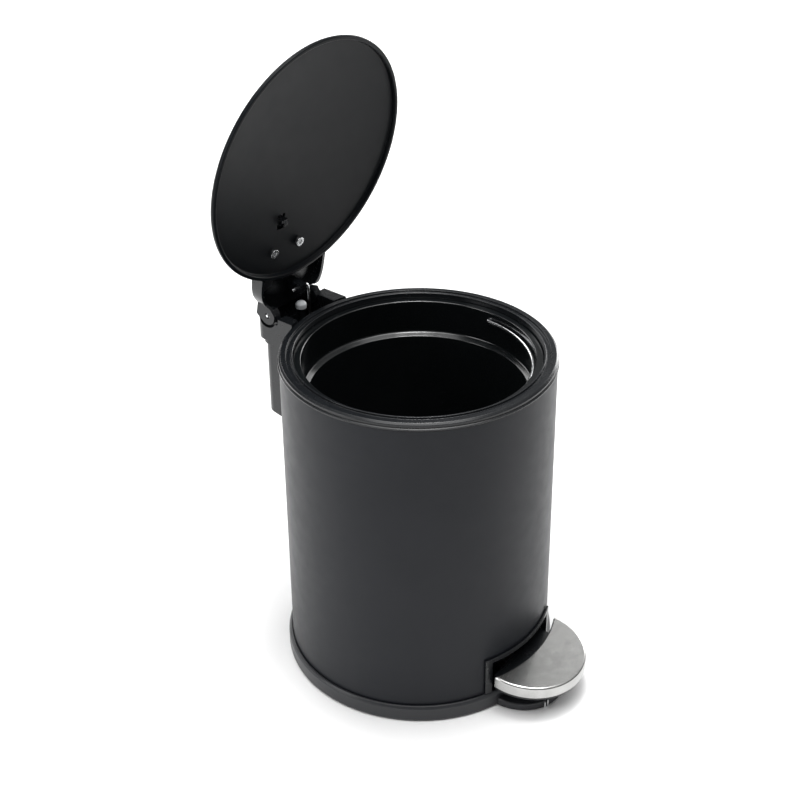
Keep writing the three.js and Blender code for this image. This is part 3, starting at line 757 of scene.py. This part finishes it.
def make_bail():
    wire = 1.3
    bow_r = 84.2
    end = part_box("bail_handle")[1].x / MM
    z = BAIL_AXIS.z / MM
    bow = arc(0, 0, bow_r, -2.2, -177.8, 140)
    right = rounded_path([(end, 0, z), (bow_r + 0.4, 0, z), (*bow[1], z)], 1.6)
    left = [Vector((-p.x, p.y, p.z)) for p in reversed(right)]
    path = right[:-1] + [Vector((x, y, z)) for x, y in bow[2:-2]] + left[1:]
    finish_piece(tube("bail_handle_fine", path, wire), "bail", "bail_handle")


# ---------------------------------------------------------------- stage

# name: place, target and size in metres, and power in watts
LIGHTS = {
    "overhead": ((-0.1, -0.1, 2.1), (-0.05, -0.05, 0.1), (1.8, 1.8), 36),
    "key": ((0.1, 0.0, 2.0), (0.05, 0.05, 0.1), (0.4, 0.4), 17),
    "left": ((-1.9, 0.9, 0.9), (0, 0, 0.2), (0.9, 1.3), 16),
    "right": ((2.0, 0.35, 0.9), (0, 0, 0.2), (0.9, 1.3), 12),
    "back": ((0.9, 2.4, 1.8), (0.9, 1.9, 0), (1.6, 1.6), 30),
    "rake": ((1.6, 0.0, 0.42), (0, 0.1, 0.35), (0.5, 0.5), 5),
}
# the camera looks at AIM from DISTANCE metres away
LENS = 68.215
SENSOR = 36
SHIFT_Y = -0.08
AIM = Vector((-8.6, 10.2, 274.8)) * MM
AZIMUTH = math.radians(-49.8)
ELEVATION = math.radians(28.64)
ROLL = math.radians(-0.652)
DISTANCE = 1.1069


def area_light(name, place, target, size, power):
    data = bpy.data.lights.new(name, "AREA")
    data.shape = "RECTANGLE"
    data.size, data.size_y = size
    data.energy = power
    obj = bpy.data.objects.new(name, data)
    bpy.context.scene.collection.objects.link(obj)
    obj.location = place
    obj.rotation_euler = (Vector(target) - Vector(place)).to_track_quat("-Z", "Y").to_euler()


def make_floor():
    floor = prism("floor", arc(0, 0, 6000, 0, 355, 71), -4, 0)
    material, nodes, links, shader, where = new_material("floor_white")
    soft = noise(nodes, links, where, 3, 2)
    white = ramp(nodes, links, soft, (0.90, 0.90, 0.90), (0.92, 0.92, 0.92))
    links.new(white, shader.inputs["Base Color"])
    shader.inputs["Roughness"].default_value = 0.9
    shader.inputs["Specular IOR Level"].default_value = 0.1
    # the far floor is pale to the eye, and lights nothing
    distance = nodes.new("ShaderNodeVectorMath")
    distance.operation = "LENGTH"
    links.new(where.outputs["Object"], distance.inputs[0])
    eye = nodes.new("ShaderNodeLightPath").outputs["Is Camera Ray"]
    glow = nodes.new("ShaderNodeMath")
    glow.operation = "MULTIPLY"
    links.new(ramp(nodes, links, distance.outputs["Value"], 0.0, 1.0, 0.9, 2.6), glow.inputs[0])
    links.new(eye, glow.inputs[1])
    shader.inputs["Emission Color"].default_value = (1, 1, 1, 1)
    links.new(glow.outputs["Value"], shader.inputs["Emission Strength"])
    floor.data.materials.append(material)


def make_world():
    world = bpy.data.worlds.new("studio")
    bpy.context.scene.world = world
    world.use_nodes = True
    nodes = world.node_tree.nodes
    links = world.node_tree.links
    where = nodes.new("ShaderNodeTexCoord")
    parts = nodes.new("ShaderNodeSeparateXYZ")
    links.new(where.outputs["Generated"], parts.inputs["Vector"])
    # darker towards the horizon and lighter overhead for the light, but white to the eye
    background = nodes["Background"]
    background.inputs["Color"].default_value = (1, 1, 1, 1)
    strength = nodes.new("ShaderNodeMath")
    strength.operation = "MAXIMUM"
    links.new(ramp(nodes, links, parts.outputs["Z"], 0.20, 0.62, 0.5, 0.85), strength.inputs[0])
    links.new(nodes.new("ShaderNodeLightPath").outputs["Is Camera Ray"], strength.inputs[1])
    links.new(strength.outputs["Value"], background.inputs["Strength"])


def make_camera():
    data = bpy.data.cameras.new("camera")
    data.lens = LENS
    data.sensor_width = SENSOR
    data.shift_y = SHIFT_Y
    camera = bpy.data.objects.new("camera", data)
    bpy.context.scene.collection.objects.link(camera)
    back = Vector((
        math.sin(AZIMUTH) * math.cos(ELEVATION),
        -math.cos(AZIMUTH) * math.cos(ELEVATION),
        math.sin(ELEVATION),
    ))
    camera.location = AIM + back * DISTANCE
    roll = Matrix.Rotation(ROLL, 4, "Z")
    look = (-back).to_track_quat("-Z", "Y").to_matrix().to_4x4()
    camera.matrix_world = Matrix.Translation(camera.location) @ look @ roll
    bpy.context.scene.camera = camera
    bpy.context.scene.view_settings.view_transform = "Standard"


def carry_over():
    """Gives the CAD nodes that stay a finished material."""
    for name, obj in frame["nodes"].items():
        obj.data.materials.clear()
        obj.data.materials.append(MATERIALS[SLOT_OF[name]])


carry_over()
make_camera()
make_body()
make_rim()
make_base()
make_trim()
make_hinge()
make_lid()
make_push_rod()
make_pedal()
make_bucket()
make_bail()
make_floor()
make_world()
for light, (place, target, size, power) in LIGHTS.items():
    area_light(light, place, target, size, power)
